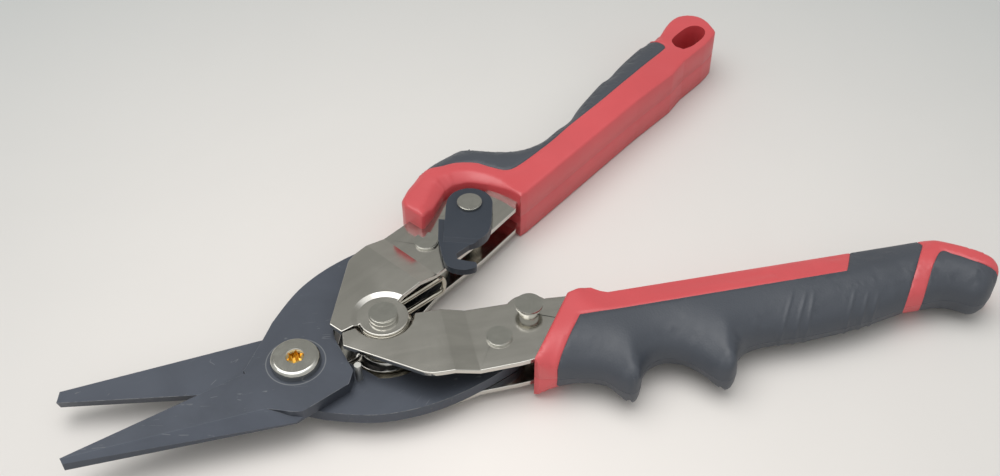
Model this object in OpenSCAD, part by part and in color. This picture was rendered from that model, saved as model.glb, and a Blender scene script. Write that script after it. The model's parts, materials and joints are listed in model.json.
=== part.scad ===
// Compound-action aviation snips, lying flat, sprung open.
// The origin is the main pivot's axis on the plane the tool rests on.
// +X runs from the main pivot to the handles, +Z is up.

/* [Linkage] */
// Distance from the main pivot to a blade rivet
blade_link = 53.1; // [46:0.1:60]
// Blade rivet along the closed handle, from the handle pivot
rivet_along = 28.6; // [26:0.1:32]
// Blade rivet outwards from the closed handle's centre line
rivet_out = 12.7; // [11.5:0.1:14]
// Angle between the two handles when fully open
handle_swing = 35; // [24:1:36]

/* [Blades] */
// Distance from the main pivot to the blade tips
blade_reach = 61; // [50:1:80]
// Thickness of each blade
blade_thick = 3.3; // [2.6:0.1:4]
// Angle of the closed blades to the tool's centre line
blade_offset = 11; // [8:1:12]
// Width of each tip
tip_width = 2.6; // [2:0.1:4]
// Depth of the front blade's bevelled back at the main pivot
bevel_drop = 2.5; // [1:0.1:2.6]
// Width of that bevel at the main pivot
bevel_width = 4; // [2:0.1:6]
// Radius of the rounded end of a blade's tail
tail_r = 6.3; // [5.6:0.1:6.6]
// Lean of the ground wall along each cutting edge
edge_lean = 20; // [5:1:25]
// Diameter of the stop pin in the rear blade
stop_d = 1.9; // [1.4:0.1:2.2]
// Gap between the two shear faces
blade_gap = 0.05; // [0.02:0.01:0.1]

/* [Main pivot] */
// Diameter of the main pivot bolt
bolt_d = 8; // [6:0.5:9]
// Diameter of its flat head
bolt_head_d = 13.1; // [12:0.1:15]
// Height of its flat head
bolt_head_h = 2.3; // [1.6:0.1:2.8]
// Width across the flats of the lock nut
nut_flats = 13; // [11:0.5:14]
// Diameter of the washer under the nut
washer_d = 14.5; // [14:0.1:16]
// Thickness of the washer under the nut
washer_thick = 0.8; // [0.5:0.1:1]

/* [Handle frames] */
// Sheet thickness of the four frame plates
plate_thick = 1.45; // [1.2:0.05:1.6]
// Width of a frame at the blade rivets
frame_width = 21.4; // [20:0.1:23]
// Gap between a blade's tail and the plates beside it
tail_gap = 0.25; // [0.15:0.05:0.4]
// Distance of a frame's inner edge from the closed handle's centre line
inner_edge = 1.2; // [1:0.1:1.6]
// How far the plates stand out round the handle pivot
pivot_rise = 2.1; // [1.8:0.1:2.4]
// Radius of the frames' round bosses
boss_r = 6.7; // [6.2:0.1:7]
// Gap round the upper boss in the lower plate's dish
dish_gap = 0.35; // [0.2:0.05:0.5]
// Width of the sloped wall round a boss
dish_slope = 1.4; // [1.2:0.1:1.8]
// Length of a plate's tang inside its grip
tang_length = 66; // [50:1:80]
// Gap between the frames' edges where they would touch
edge_gap = 0.15; // [0.1:0.05:0.5]

/* [Handle pivot and spring] */
// Diameter of the handle pivot pin
pin_d = 5.6; // [5:0.1:6.4]
// Diameter of its heads
pin_head_d = 7.8; // [7.4:0.1:9]
// Height of its heads
pin_head_h = 1.8; // [1:0.1:1.8]
// Wall of the sleeve round the pin
sleeve_wall = 1.4; // [1:0.1:1.8]
// Gap between the opening spring's coil and the frames' bosses beside it
coil_gap = 0.09; // [0.05:0.01:0.3]
// Coil radius to the middle of the wire
coil_r = 7.3; // [6.8:0.1:7.6]
// Number of full turns
coil_turns = 4; // [2:2:4]
// Reach of each spring leg from the handle pivot
leg_reach = 23.5; // [18:0.5:24]

/* [Rivets and lock post] */
// Diameter of the blade rivets
rivet_d = 5; // [4:0.1:5.4]
// Diameter of the blade rivets' heads
rivet_head_d = 7; // [6.4:0.1:8]
// Height of the blade rivets' heads
rivet_head_h = 0.8; // [0.5:0.1:1.2]
// Diameter of the lock post's neck
post_d = 5.4; // [4.6:0.1:5.4]
// Diameter of the lock post's head
post_head_d = 7.3; // [7:0.1:8]
// Height of the neck above its plate
post_neck_h = 2.7; // [2.5:0.1:3]
// Thickness of the post's head
post_head_h = 1; // [0.8:0.1:1.4]
// Lock post along the closed handle, from the handle pivot
post_along = 38.2; // [37.6:0.1:39]
// Lock post outwards from the closed handle's centre line
post_out = 6; // [5.7:0.1:6.4]
// Radius of the plate's round lobe under the post
lobe_r = 6.7; // [6:0.1:6.8]

/* [Latch] */
// Latch pivot along the closed handle, from the handle pivot
latch_along = 46; // [45.5:0.1:47]
// Latch pivot outwards from the closed handle's centre line
latch_out = 12.1; // [11.8:0.1:12.6]
// Radius of the latch lever's round head
latch_head_r = 6.7; // [6.4:0.1:7]
// Thickness of the latch lever's body
latch_thick = 3; // [2.6:0.1:3.4]
// Thickness of its hook, which passes under the post's head
hook_thick = 2.1; // [1.6:0.1:2.2]
// Diameter of the latch rivet
latch_pin_d = 4.6; // [4:0.1:5]
// Diameter of the latch rivet's head
latch_pin_head_d = 7.2; // [6.4:0.1:8]

/* [Grips] */
// Half the thickness of both grips
grip_half = 8.4; // [8.4:0.1:9]
// Radius that rounds the grips' outer edges
grip_round = 7; // [4:0.5:7.5]
// Radius that rounds the edges of their inner sides
inner_round = 1; // [0.5:0.1:1.4]
// Distance from the handle pivot to the grips' ends
grip_reach = 170.5; // [168:0.5:210]
// How far the upper grip's arch stands up over its frame
arch_rise = 2.1; // [1:0.1:2.4]
// Width of the hang slot in the upper grip's end
hang_width = 8; // [6:0.5:8.5]
// Length of the hang slot
hang_length = 16; // [10:0.5:16]
// Thickness of the soft cover over the lower grip's faces
cover_wall = 2.4; // [1.6:0.1:2.4]
// Thickness of the soft cover along the lower grip's edges
cover_depth = 3.4; // [2:0.1:4]
// Diameter of the rivets through each tang
tang_rivet_d = 4; // [3:0.5:4.5]
// Gap between the soft covers and the hard bodies
cover_gap = 0.04; // [0.02:0.01:0.1]

/* [Fits] */
// Radial clearance of a shaft that turns in its hole
run_gap = 0.06; // [0.03:0.01:0.1]
// Radial clearance of a shaft that is pressed in
press_gap = 0.01; // [0.01:0.01:0.03]
// Radial clearance of the upper rivet in its blade, where the linkage closes
link_gap = 0.45; // [0.4:0.05:0.6]

/* [Hidden] */
$fn = 64;

// Where the linkage stands, closed and open
rivet_r = norm([rivet_along, rivet_out]);
rivet_angle = atan(rivet_out / rivet_along);
handle_open = handle_swing / 2;
tail_closed = asin(rivet_out / blade_link);
tail_open = asin(rivet_r * sin(rivet_angle + handle_open) / blade_link);
blade_open = tail_open - tail_closed;
pivot_x = blade_link * cos(tail_open) - rivet_r * cos(rivet_angle + handle_open);
tail_x = blade_link * cos(tail_closed);

// Levels above the shear plane: inner faces of the plates and of the two bosses
seat_z = blade_thick + blade_gap / 2;
washer_r = tail_r - 0.3;
plate_in = seat_z + tail_gap - blade_gap / 2;
plate_out = plate_in + plate_thick;
boss_gap = 0.05;
// The turns of wire fill the room between the bosses; each ring is a little thicker, to join the next
coil_fuse = 0.12;
wire_d = (2 * (plate_in - coil_gap) - coil_fuse) / coil_turns;
upper_boss_in = plate_out + boss_gap;
upper_boss_out = upper_boss_in + plate_thick;
high_in = plate_in + pivot_rise;
high_out = high_in + plate_thick;
step_start = 15;
step_end = 21.5;
lobe_past = 0.75;
post_shank_d = post_d - 1.2;
tang_rivet_x = [78, 108];
tang_rivet_y = 9.9;
tang_spacer_d = tang_rivet_d + 2;
foot_r = boss_r + dish_gap;
wall_r = foot_r + dish_slope;
wall_bend = 0.6;

// Moves a piece drawn for the closed tool, in its own axes, to where it lies open
module place() { translate([0, 0, grip_half]) children(); }
module upper() { place() translate([pivot_x, 0, 0]) rotate(handle_open) children(); }
module lower() { place() translate([pivot_x, 0, 0]) rotate(-handle_open) mirror([0, 1, 0]) children(); }
module front() { place() rotate(blade_open) children(); }
module rear() { place() rotate(-blade_open) mirror([0, 1, 0]) children(); }
module flip() { mirror([0, 0, 1]) children(); }
module slab(z0, z1) { translate([0, 0, z0]) linear_extrude(z1 - z0) children(); }
module rod(d, z0, z1) { translate([0, 0, z0]) cylinder(d = d, h = z1 - z0); }
module tube(d, hole, z0, z1) {
    difference() {
        rod(d, z0, z1);
        rod(hole, z0 - 1, z1 + 1);
    }
}

// Points on a circle, and a smooth curve through a list of points
function arc(c, r, a0, a1, n = 12) =
    [for (i = [0:n]) c + r * [cos(a0 + (a1 - a0) * i / n), sin(a0 + (a1 - a0) * i / n)]];
function cubic(a, b, c, d, t) = 0.5 * (2 * b + (c - a) * t + (2 * a - 5 * b + 4 * c - d) * t * t
    + (3 * b - a - 3 * c + d) * t * t * t);
function smooth(p, n = 4) = concat([for (i = [0:len(p) - 2], k = [0:n - 1])
    cubic(p[max(i - 1, 0)], p[i], p[i + 1], p[min(i + 2, len(p) - 1)], k / n)], [p[len(p) - 1]]);

// ---- blades ----
// Centre of the blade rivet's hole, and the hollow side of the tail, which clears the spring
rivet_c = [tail_x, rivet_out];
claw_c = [pivot_x * cos(blade_open), -pivot_x * sin(blade_open)];
claw_r = coil_r + wire_d / 2 + 5.4;
claw_wide_r = claw_r + 2.2;
// The stop pin stands against the front blade's heel when the tool is open
stop_c = [14.3, 8.5];
stop_top = high_in - 0.35;
pivot_tang = 58 + tang_length;

module tail_outline(start) {
    polygon(concat(start,
        smooth([[2.4, 15.6], [9.7, 19.4], [16, 21.8], [24, 23.2], [33, 23.2], [42, 21.8], rivet_c + [1, tail_r]], 4),
        arc(rivet_c, tail_r, 80, -110, 16),
        arc(claw_c, claw_wide_r, 38, 112, 9),
        arc(claw_c, claw_r, 131, 165, 4),
        [[9.8, -12], [6.6, -14.8]]));
}

// Everything on one side of a line in plan, above a plane that leans through it
module above_plane(p, q, z, lean) {
    translate([p[0], p[1], z]) rotate(atan2(q[1] - p[1], q[0] - p[0])) rotate([lean, 0, 0])
        translate([-30, -30, 0]) cube([140, 30, 20]);
}
module beyond_plane(p, q, z, lean) {
    translate([p[0], p[1], z]) rotate(atan2(q[1] - p[1], q[0] - p[0])) rotate([lean, 0, 0])
        translate([-30, 0, -2]) cube([140, 30, 20]);
}

// A blade with its shear face down: back corner, tip, heel of the edge and ridge of the bevel
module blade(back, tip_back, tip, heel, ridge_tip, ridge_end) {
    difference() {
        slab(blade_gap / 2, seat_z) tail_outline([back, tip_back, tip, heel, [-2.8, 11.9]]);
        intersection() {
            above_plane(ridge_tip, ridge_end, seat_z, atan(bevel_drop / bevel_width));
            slab(-1, seat_z + 1) polygon(concat([tip + [-9, 9], ridge_tip],
                smooth([ridge_end, ridge_end + [2.4, -2.6], ridge_end + [4.4, -4.9], ridge_end + [8, -7.5]], 3),
                [[0, -30], tip + [-9, -30]]));
        }
        intersection() {
            beyond_plane(tip, heel, blade_gap / 2, edge_lean);
            slab(-1, seat_z + 1) polygon([tip + [-9, -6], heel + [-0.4, -6], heel + [-0.4, 9], tip + [-9, 9]]);
        }
        rod(bolt_d + 2 * run_gap, -1, seat_z + 1);
        translate(rivet_c) children();
    }
}

module front_blade() {
    tip = blade_reach * [-cos(blade_offset), sin(blade_offset)];
    color("#5a6069") front()
        blade([-9.4, -14.8], tip - [0.3, tip_width], tip, [-11.7, 6.1], tip + [3, -tip_width],
            [-13.9, -8.2])
            rod(rivet_d + 2 * link_gap, -1, seat_z + 1);
}

module rear_blade() {
    tip = blade_reach * [-cos(blade_offset), -sin(blade_offset)];
    color("#565c66") rear() difference() {
        flip() blade([-6.4, -13.4], tip - [-1.2, tip_width + 0.8], tip, [-8, 4.4], tip + [4, -tip_width],
            [-13.9, -10.2])
            rod(rivet_d + 2 * run_gap, -1, seat_z + 1);
        translate(stop_c) rod(stop_d + 2 * press_gap, -seat_z - 1, 1);
    }
}

// A pin in the rear blade that stops the front blade's heel when the tool opens
module stop_pin() { color("silver") rear() translate(stop_c) rod(stop_d, -seat_z, stop_top); }

// ---- main pivot ----
bolt_top = seat_z + bolt_head_h;
bolt_edge = 1.1;
socket_d = 4.7;
socket_depth = 2.6;

module pivot_bolt() {
    color("#b9bab4") place() difference() {
        union() {
            rod(bolt_d, -grip_half, seat_z + 0.1);
            rotate_extrude() polygon(concat([[0, seat_z], [bolt_head_d / 2, seat_z]],
                arc([bolt_head_d / 2 - bolt_edge, bolt_top - bolt_edge], bolt_edge, 0, 90, 6), [[0, bolt_top]]));
        }
        slab(bolt_top - socket_depth, bolt_top + 1) for (a = [0, 60]) rotate(a) circle(d = socket_d, $fn = 3);
        rod(socket_d * 0.7, bolt_top - socket_depth, bolt_top + 1);
        translate([0, 0, bolt_top - 0.4]) cylinder(d1 = socket_d - 0.4, d2 = socket_d + 0.4, h = 0.5);
    }
}

module pivot_washer() {
    color("silver") place() tube(washer_d, bolt_d + 2 * run_gap, -seat_z - washer_thick, -seat_z);
}

module pivot_nut() {
    color("silver") place() difference() {
        union() {
            slab(-grip_half, -seat_z - washer_thick) circle(d = nut_flats / cos(30), $fn = 6);
            rod(nut_flats + 0.6, -seat_z - washer_thick - 1, -seat_z - washer_thick);
        }
        rod(bolt_d + 2 * press_gap, -grip_half - 1, 0);
    }
}

// ---- handle frames ----
// Plan of a frame from its corners by the handle pivot to its tang; open_edge meets the other frame
frame_top = rivet_out - 0.8 + frame_width / 2;
module frame_outline() {
    corner = 12;
    ray = 180 - handle_open;
    start = corner * [cos(ray), sin(ray)] + edge_gap * [sin(ray), -cos(ray)];
    polygon(concat([[0, inner_edge], start, [-11.7, 8.2]],
        smooth([[7.2, frame_top - 0.9], [10, frame_top - 0.1], [14, frame_top + 0.1]], 3),
        smooth([[22, frame_top], [32, frame_top - 0.2]], 2),
        [[46, frame_top - 1.5], [56, 15], [66, 12.6], [pivot_tang, 12.6], [pivot_tang + 3, 10.8],
         [pivot_tang, 7.6], [70, 7.2], [58, 4.4], [56, inner_edge + 1.8], [40, inner_edge + 0.4]],
        [[13, inner_edge]]));
}

// A plate's side view: high round the handle pivot, low beside the blade tails
module step_profile() {
    rotate([90, 0, 0]) translate([0, 0, -60]) linear_extrude(120)
        polygon([[-20, high_in], [step_start, high_in], [step_end, plate_in], [160, plate_in],
            [160, plate_out], [step_end, plate_out], [step_start, high_out], [-20, high_out]]);
}

// The sloped wall from a boss up to its plate, inner face first
module boss_wall(z) {
    rotate_extrude()
        polygon([[foot_r, z + plate_thick], [wall_r, high_out], [wall_r + 2 * wall_bend, high_out],
            [wall_r + 2 * wall_bend, high_in], [wall_r + wall_bend, high_in], [foot_r + wall_bend, z],
            [boss_r - 1, z], [boss_r - 1, z + plate_thick]]);
}

// One frame plate, front side up, less its holes; its boss is round where it lies over the other frame
module plate(boss_in, post) {
    difference() {
        union() {
            difference() {
                intersection() {
                    slab(0, high_out + 1) plate_plan(post);
                    step_profile();
                }
                rod(2 * wall_r + 2 * wall_bend, 0, high_out + 1);
            }
            intersection() {
                boss_wall(boss_in);
                slab(0, high_out + 1) frame_outline();
            }
            rod(2 * boss_r, boss_in, boss_in + plate_thick);
        }
        frame_holes(post);
    }
}

// The lower plates carry a round lobe under the lock post
module plate_plan(post) {
    frame_outline();
    if (post) intersection() {
        translate([post_along, post_out]) circle(lobe_r);
        translate([post_along - lobe_r, -lobe_past]) square(3 * lobe_r);
    }
}

module frame_holes(post) {
    rod(pin_d + 2 * (post ? press_gap : run_gap), 0, 20);
    translate([rivet_along, rivet_out]) rod(rivet_d + 2 * press_gap, 0, 20);
    if (post) translate([post_along, post_out]) rod(post_shank_d + 2 * press_gap, 0, 20);
    else translate([latch_along, latch_out]) rod(latch_pin_d + 2 * press_gap, 0, 20);
    for (x = tang_rivet_x) translate([x, tang_rivet_y]) rod(tang_rivet_d + 2 * press_gap, 0, 20);
}

module upper_front_plate() { color("#a9aaa2") upper() plate(upper_boss_in, false); }
module upper_back_plate() { color("#a9aaa2") upper() flip() plate(upper_boss_in, false); }
module lower_front_plate() { color("#a4a59d") lower() plate(plate_in, true); }
module lower_back_plate() { color("#a4a59d") lower() flip() plate(plate_in, true); }

// ---- handle pivot ----
module handle_pivot_pin() {
    color("#b9bab4") lower() {
        rod(pin_d, -upper_boss_out, upper_boss_out);
        for (s = [0, 1]) mirror([0, 0, s]) {
            rod(pin_head_d, upper_boss_out + boss_gap, upper_boss_out + boss_gap + pin_head_h - 0.3);
            rod(pin_head_d - 0.6, upper_boss_out + boss_gap, upper_boss_out + boss_gap + pin_head_h);
            rod(pin_d, upper_boss_out - 0.1, upper_boss_out + boss_gap + 0.1);
        }
    }
}

module pivot_sleeve() {
    color("silver") lower() tube(pin_d + 2 * sleeve_wall, pin_d + 2 * press_gap, -plate_in, plate_in);
}

// The spring is wound double: its outer turns run out into a closed loop along the upper frame's
// inner edge, and its inner turns into two legs side by side along the lower frame's
leg_fuse = 0.03;
leg_turn = asin(coil_r / leg_reach) - asin((inner_edge + 0.2) / leg_reach);
leg_length = sqrt(leg_reach * leg_reach - coil_r * coil_r);

module leg(z) {
    rotate(-leg_turn) translate([0, coil_r, z]) rotate([0, 90, 0]) cylinder(d = wire_d, h = leg_length);
}

module torsion_spring() {
    loop_z = (coil_turns - 1) / 2 * wire_d;
    color("#c8b98a") place() translate([pivot_x, 0, 0]) {
        for (i = [0:coil_turns - 1]) translate([0, 0, (i - (coil_turns - 1) / 2) * wire_d])
            rotate_extrude() translate([coil_r, 0]) circle(d = wire_d + coil_fuse, $fn = 24);
        rotate(handle_open) {
            for (s = [-1, 1]) leg(s * loop_z);
            rotate(-leg_turn) translate([leg_length, coil_r, 0])
                rod(wire_d + coil_fuse, -loop_z - wire_d / 2 - leg_fuse, loop_z + wire_d / 2 + leg_fuse);
        }
        for (s = [-1, 1]) mirror([0, 1, 0]) rotate(handle_open) leg(s * (wire_d / 2 - leg_fuse));
    }
}

// ---- blade rivets ----
module blade_rivet() {
    rod(rivet_d, -plate_out, plate_out);
    for (s = [0, 1]) mirror([0, 0, s]) {
        rod(rivet_head_d, plate_out, plate_out + rivet_head_h - 0.25);
        rod(rivet_head_d - 0.5, plate_out, plate_out + rivet_head_h);
    }
}

module upper_blade_rivet() { color("#b4b5ae") upper() translate([rivet_along, rivet_out]) blade_rivet(); }
module lower_blade_rivet() { color("#b4b5ae") lower() translate([rivet_along, rivet_out]) blade_rivet(); }
module upper_rivet_washer() {
    color("silver") upper() translate([rivet_along, rivet_out])
        tube(2 * washer_r, rivet_d + 2 * press_gap, -plate_in, -blade_gap);
}
module lower_rivet_washer() {
    color("silver") lower() translate([rivet_along, rivet_out])
        tube(2 * washer_r, rivet_d + 2 * press_gap, blade_gap, plate_in);
}

// ---- latch ----
// Where the lock post stands from the latch pivot when the tool is closed
catch_vector = [post_along - latch_along, -post_out - latch_out];
catch_r = norm(catch_vector);
catch_angle = atan2(catch_vector[1], catch_vector[0]);
latch_swing = 21.6;
throat_angle = catch_angle - latch_swing;
hook_turn = 8.4;
washer_top = plate_out + 0.35;
latch_top = washer_top + latch_thick;
hook_top = washer_top + hook_thick;
throat_gap = 0.25;
head_gap = 0.4;
slope_end = catch_r * cos(hook_turn) - post_head_d / 2 - head_gap;

// Plan of the lever in its own axes: x runs from its pivot to the hook, y to the mouth of its throat
module latch_plan() {
    slot_r = post_d / 2 + throat_gap;
    difference() {
        union() {
            circle(latch_head_r);
            polygon(concat(
                [[0, latch_head_r], [0, -latch_head_r]],
                smooth([[1.3, -latch_head_r], [9, -6.1], [16, -5.6], [21.6, -4.9], [24.8, -3.2], [25.9, -0.4],
                    [25.8, 2.2], [24.9, 4.2], [23.8, 4.9], [22.7, 4.4]], 3),
                [[22.4, 1.6], [21.9, -0.8], [19.9, -1.4]],
                smooth([[16.2, 1.8], [14.6, 4.4], [12, 6.4], [8.8, 7.1], [4.3, 7], [1.2, latch_head_r]], 3)));
        }
        // the throat runs in on an arc about the pivot, so that the post enters it as the lever swings
        rotate(hook_turn) translate([catch_r, 0]) circle(slot_r);
        polygon(concat(arc([0, 0], catch_r - slot_r, hook_turn, hook_turn + 40, 10),
            arc([0, 0], catch_r + slot_r, hook_turn + 40, hook_turn, 10)));
    }
}

// A thumb rib along the lever's outer side
module latch_rib() {
    polygon([[6.4, -6], [6.4, -8.2], [14.6, -7.2], [21, -5.2], [21, -4]]);
}

// The lever's side view: full thickness, with a short step down to the hook
module latch_side() {
    rotate([90, 0, 0]) translate([0, 0, -20]) linear_extrude(40)
        polygon([[-12, washer_top], [-12, latch_top], [slope_end - 1, latch_top], [slope_end, hook_top],
            [30, hook_top], [30, washer_top]]);
}

module latch_lever() {
    color("#2b3038") upper() translate([latch_along, latch_out]) rotate(throat_angle - hook_turn)
        difference() {
            union() {
                intersection() {
                    slab(washer_top, latch_top) latch_plan();
                    latch_side();
                }
                slab(washer_top, hook_top) latch_rib();
            }
            rod(latch_pin_d + 2 * run_gap, 0, 20);
        }
}

module latch_washer() {
    color("silver") upper() translate([latch_along, latch_out])
        tube(latch_head_r * 2 - 2, latch_pin_d + 2 * run_gap, plate_out, washer_top - 0.05);
}

module latch_rivet() {
    color("#b9bab4") upper() translate([latch_along, latch_out]) {
        rod(latch_pin_d, -plate_out, latch_top + 0.1);
        rod(latch_pin_head_d, latch_top + 0.05, latch_top + 0.8);
        rod(latch_pin_head_d - 0.6, latch_top + 0.05, latch_top + 1.05);
        rod(latch_pin_head_d, -plate_out - 0.9, -plate_out);
        tube(latch_pin_d + 2.4, latch_pin_d - 1, -plate_in, plate_in);
    }
}

// ---- lock post ----
module lock_post() {
    color("#b9bab4") lower() translate([post_along, post_out]) {
        rod(post_shank_d, -plate_out, plate_out + 0.1);
        rod(post_d, plate_out, plate_out + post_neck_h);
        rod(post_head_d, plate_out + post_neck_h, plate_out + post_neck_h + post_head_h);
        rod(post_d, -plate_out - 0.9, -plate_out);
    }
}
module lock_post_spacer() {
    color("silver") lower() translate([post_along, post_out])
        tube(post_d + 2, post_shank_d + 2 * press_gap, -plate_in, plate_in);
}

// ---- tang rivets ----
module tang_rivets() {
    for (x = tang_rivet_x) translate([x, tang_rivet_y]) {
        rod(tang_rivet_d, -plate_out, plate_out);
        tube(tang_spacer_d, tang_rivet_d + 2 * press_gap, -plate_in, plate_in);
    }
}
module upper_tang_rivets() { color("silver") upper() tang_rivets(); }
module lower_tang_rivets() { color("silver") lower() tang_rivets(); }

// ---- grips ----
// Rounds the long edges of an outline in steps, each step set in a little further
module rounded(half, r, steps) {
    slab(r - half, half - r) children();
    for (s = [0, 1], i = [0:steps - 1]) mirror([0, 0, s])
        slab(half - r + r * sin(90 * i / steps) - 0.01, half - r + r * sin(90 * (i + 1) / steps))
            offset(delta = -r * (1 - cos(90 * (i + 0.5) / steps))) children();
}

// A grip's form: crisp along its inner side and well rounded everywhere else
module grip_form(half = grip_half) {
    intersection() {
        rounded(half, grip_round, 5) {
            children();
            translate([0, -grip_round]) children();
        }
        rounded(half, inner_round, 1) children();
    }
}

// The hard core that carries a grip's soft cover
module grip_core(gap = 0) {
    slab(-grip_half + cover_wall - gap, grip_half - cover_wall + gap) offset(delta = gap - cover_depth) children();
}

// Room for the frame's plates and the spacers between them inside a grip
module tang_room() {
    slab(-plate_out - cover_gap, plate_out + cover_gap) offset(delta = cover_gap) {
        frame_outline();
        for (x = tang_rivet_x) translate([x, tang_rivet_y]) circle(d = tang_spacer_d);
    }
}

module upper_grip_outline() {
    end = grip_reach;
    polygon(concat(
        [[58.4, 3.2], [60.8, 2.9], [117.6, 5.6], [137, 5.9], [145.4, 7.4]],
        smooth([[end - 12.5, 7.8], [end - 5, 9.2], [end - 2.1, 12.6], [end - 0.2, 16.8], [end - 0.4, 20.8],
            [end - 3.6, 24.6], [end - 7.6, 25.6], [end - 12, 25], [end - 17.8, 23.2]], 4),
        smooth([[149.7, 25.5], [145.3, 26.5], [139.8, 26.3], [133.7, 25.7], [129, 25], [124.4, 24.2], [121.4, 24.5],
            [116.7, 23.8], [111.7, 22.6], [106, 21.5], [101.4, 20], [97.7, 18.8], [92, 18.8], [84, 18.6],
            [76.4, 21.6], [71, 27.4], [67.4, 32.4], [64, 34.6], [57, 35], [48, 33.8], [38, 30], [33, 26.8],
            [31.2, 23.8]], 3),
        [[31.2, 22.6], [31.4, 17.2], [32.4, 16.8]],
        smooth([[36.9, 18.1], [41.9, 20.1], [45.8, 21.6], [49.6, 21.5], [53.6, 19.4], [56.2, 15.4], [57.6, 11.4]], 4)));
}

// The line between the hard body and the soft insert
module upper_insert_region() {
    polygon(concat(
        smooth([[42, 40], [44, 31.2], [47, 30.8], [51, 28.8], [56, 27.2], [60.4, 23.4], [62.2, 18.6], [64.4, 14.2],
            [69, 12.9], [81, 13.1], [96, 14.4], [110, 14.7], [122, 15.4], [135, 16.1], [144, 16.4], [147.2, 19.4],
            [148.2, 30]], 3),
        [[148.2, 60], [42, 60]]));
}

hang_x = grip_reach - 9.2;
module hang_slot() {
    slab(-grip_half - 1, grip_half + 1) hull() {
        translate([hang_x - hang_length + hang_width, 14.2]) circle(d = hang_width);
        translate([hang_x, 14.6]) circle(d = hang_width);
    }
}

// Where the arch stands up over the frame, front side only, seen from the side
module arch_side() {
    rotate([90, 0, 0]) translate([0, 0, -60]) linear_extrude(120)
        polygon([[20, 0], [20, grip_half + arch_rise], [45, grip_half + arch_rise], [62, grip_half - 0.5], [62, 0]]);
}

module upper_grip() {
    difference() {
        union() {
            grip_form() upper_grip_outline();
            intersection() {
                grip_form(grip_half + arch_rise) upper_grip_outline();
                arch_side();
            }
        }
        tang_room();
        hang_slot();
    }
}

module upper_grip_body() {
    color("#c8373c") upper() difference() {
        upper_grip();
        slab(-20, 20) upper_insert_region();
    }
}

module upper_grip_insert() {
    color("#31353d") upper() intersection() {
        upper_grip();
        slab(-20, 20) offset(delta = -cover_gap) upper_insert_region();
    }
}

module lower_grip_outline() {
    end = grip_reach;
    polygon(concat(
        [[36, 23.4], [49.4, 3.5], [52.7, 2.6], [56, 3], [58.5, 4.1], [60.5, 4.4], [129.8, 5.2]],
        smooth([[150.9, 5.4], [155.7, 6.9], [162.5, 11.5], [end - 4.4, 14.9], [end - 2.6, 17.8], [end - 2.3, 20.5],
            [end - 4.6, 23.5], [end - 8.5, 26.3], [end - 12.4, 26.4], [end - 16.1, 23.8], [end - 19.7, 22.6]], 3),
        smooth([[141, 22.8], [133, 24.4], [124, 25.8], [112, 26.6], [101, 26.2], [94, 26.6], [90, 28.6],
            [87.8, 31.8], [86.4, 34.8], [83.8, 36.2], [81, 34.8], [78.4, 31], [74.8, 27.2], [70.4, 25.6], [66.2, 26.4],
            [63.4, 28.8], [62, 31.4], [60.6, 33.8], [58.2, 34.7], [55.6, 32.8], [52.8, 29.2], [47.6, 27], [41.6, 26],
            [38.2, 25.4]], 3)));
}

// Plan of the soft cover and of the soft end pad within the lower grip
module lower_cover_region() {
    polygon([[41, 50], [41, 25.6], [50.4, 12.4], [125.6, 13.2], [129.6, 3], [151, 3], [148.8, 11], [138.4, 25],
        [138, 50]]);
}

module lower_pad_region() {
    polygon(concat([[143, 50], [143.6, 25.4]],
        smooth([[153, 12.8], [157, 14], [161.6, 18], [grip_reach - 6.6, 21.4], [grip_reach, 23.4]], 3),
        [[grip_reach + 20, 50]]));
}

module lower_grip_body() {
    color("#c8373c") lower() difference() {
        union() {
            difference() {
                grip_form() lower_grip_outline();
                slab(-20, 20) lower_cover_region();
            }
            grip_core() lower_grip_outline();
        }
        slab(-20, 20) lower_pad_region();
        tang_room();
    }
}

module lower_grip_cover() {
    color("#31353d") lower() difference() {
        intersection() {
            grip_form() lower_grip_outline();
            slab(-20, 20) offset(delta = -cover_gap) lower_cover_region();
        }
        grip_core(cover_gap) lower_grip_outline();
        tang_room();
    }
}

module lower_end_pad() {
    color("#31353d") lower() intersection() {
        grip_form() lower_grip_outline();
        slab(-20, 20) offset(delta = -cover_gap) lower_pad_region();
    }
}

front_blade();
rear_blade();
stop_pin();
pivot_bolt();
pivot_washer();
pivot_nut();
upper_front_plate();
upper_back_plate();
lower_front_plate();
lower_back_plate();
handle_pivot_pin();
pivot_sleeve();
torsion_spring();
upper_blade_rivet();
upper_rivet_washer();
lower_blade_rivet();
lower_rivet_washer();
latch_lever();
latch_washer();
latch_rivet();
lock_post();
lock_post_spacer();
upper_tang_rivets();
lower_tang_rivets();
upper_grip_body();
upper_grip_insert();
lower_grip_body();
lower_grip_cover();
lower_end_pad();
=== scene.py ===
import json
import math
import bpy
import numpy as np
from mathutils import Matrix, Vector, geometry, kdtree


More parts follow.
